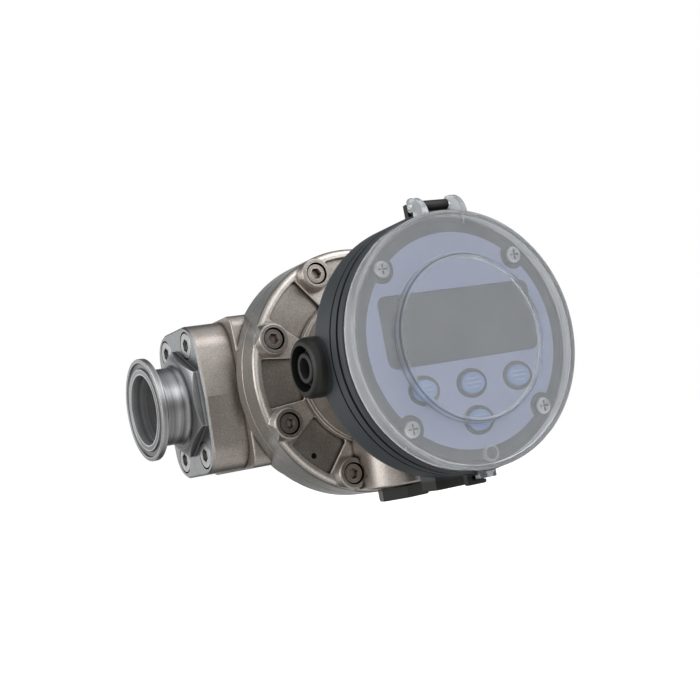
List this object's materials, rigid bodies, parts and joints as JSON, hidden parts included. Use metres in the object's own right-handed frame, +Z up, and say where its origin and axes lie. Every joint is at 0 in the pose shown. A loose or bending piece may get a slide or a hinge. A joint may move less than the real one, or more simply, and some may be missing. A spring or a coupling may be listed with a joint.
{
  "type": "oval gear flow meter",
  "caption": "Oval gear flow meter with clamp ferrules, a bolted cast body and a round battery display under a hinged clear lid, for measuring liquid in a pipe.",
  "frame": {"origin": "middle of the inlet ferrule's sealing face, on the flow axis", "axes": "+X runs with the flow from inlet to outlet, +Z is up, and the display faces -Y"},
  "size_m": [0.195, 0.1799, 0.1288],
  "materials": {
    "cast_stainless": "bead-blasted casting",
    "turned_stainless": "satin, turned",
    "screw_steel": "plain",
    "rotor_steel": "machined",
    "bush_carbon": "matt",
    "magnet": "plated",
    "slate_moulding": "fine moulded texture",
    "black_moulding": "matt",
    "clear_lid": "clear",
    "label_film": "satin film",
    "display_glass": "polished",
    "button_rubber": "satin",
    "seal_rubber": "matt",
    "board": "solder resist",
    "cell_wrap": "film wrap"
  },
  "bodies": {
    "meter": {"meter_body": "cast_stainless", "meter_cap": "cast_stainless", "cap_o_ring": "seal_rubber", "cap_screws": "screw_steel", "rotor_upper_shaft": "turned_stainless", "rotor_lower_shaft": "turned_stainless", "inlet_adaptor": "cast_stainless", "outlet_adaptor": "cast_stainless", "inlet_adaptor_screws": "screw_steel", "outlet_adaptor_screws": "screw_steel", "inlet_o_ring": "seal_rubber", "outlet_o_ring": "seal_rubber", "inlet_ferrule": "turned_stainless", "outlet_ferrule": "turned_stainless", "sensor_board": "board", "neck_gasket": "seal_rubber", "neck_screws": "screw_steel", "display_housing": "slate_moulding", "cable_seal": "seal_rubber", "conduit_plug": "black_moulding", "front_cover": "slate_moulding", "cover_gasket": "seal_rubber", "cover_screws": "screw_steel", "fascia_label": "label_film", "lcd_module": "display_glass", "circuit_board": "board", "battery": "cell_wrap", "terminal_block": "black_moulding", "hinge_pin": "turned_stainless"},
    "lid": {"clear_lid": "clear_lid"},
    "left_button": {"button_left": "button_rubber"},
    "centre_button": {"button_centre": "button_rubber"},
    "right_button": {"button_right": "button_rubber"},
    "lower_button": {"button_lower": "button_rubber"},
    "upper_gear": {"rotor_upper": "rotor_steel", "rotor_upper_bush": "bush_carbon", "rotor_upper_magnets": "magnet"},
    "lower_gear": {"rotor_lower": "rotor_steel", "rotor_lower_bush": "bush_carbon", "rotor_lower_magnets": "magnet"}
  },
  "joints": [
    {"name": "lid_hinge", "type": "hinge", "parent": "meter", "child": "lid", "pos_m": [0.0975, -0.1358, 0.0607], "axis": [-1, 0, 0], "range_deg": [0, 120]},
    {"name": "left_button_press", "type": "slide", "parent": "meter", "child": "left_button", "axis": [0, 1, 0], "range_m": [0, 0.0008], "stiffness_N_per_m": 1200},
    {"name": "centre_button_press", "type": "slide", "parent": "meter", "child": "centre_button", "axis": [0, 1, 0], "range_m": [0, 0.0008], "stiffness_N_per_m": 1200},
    {"name": "right_button_press", "type": "slide", "parent": "meter", "child": "right_button", "axis": [0, 1, 0], "range_m": [0, 0.0008], "stiffness_N_per_m": 1200},
    {"name": "lower_button_press", "type": "slide", "parent": "meter", "child": "lower_button", "axis": [0, 1, 0], "range_m": [0, 0.0008], "stiffness_N_per_m": 1200},
    {"name": "upper_gear_turn", "type": "hinge", "parent": "meter", "child": "upper_gear", "pos_m": [0.0975, 0, 0.01985], "axis": [0, -1, 0], "continuous": true},
    {"name": "lower_gear_turn", "type": "hinge", "parent": "meter", "child": "lower_gear", "pos_m": [0.0975, 0, -0.01985], "axis": [0, -1, 0], "continuous": true}
  ],
  "couplings": [
    {"joint": "lower_gear_turn", "follows": "upper_gear_turn", "ratio": -1}
  ]
}
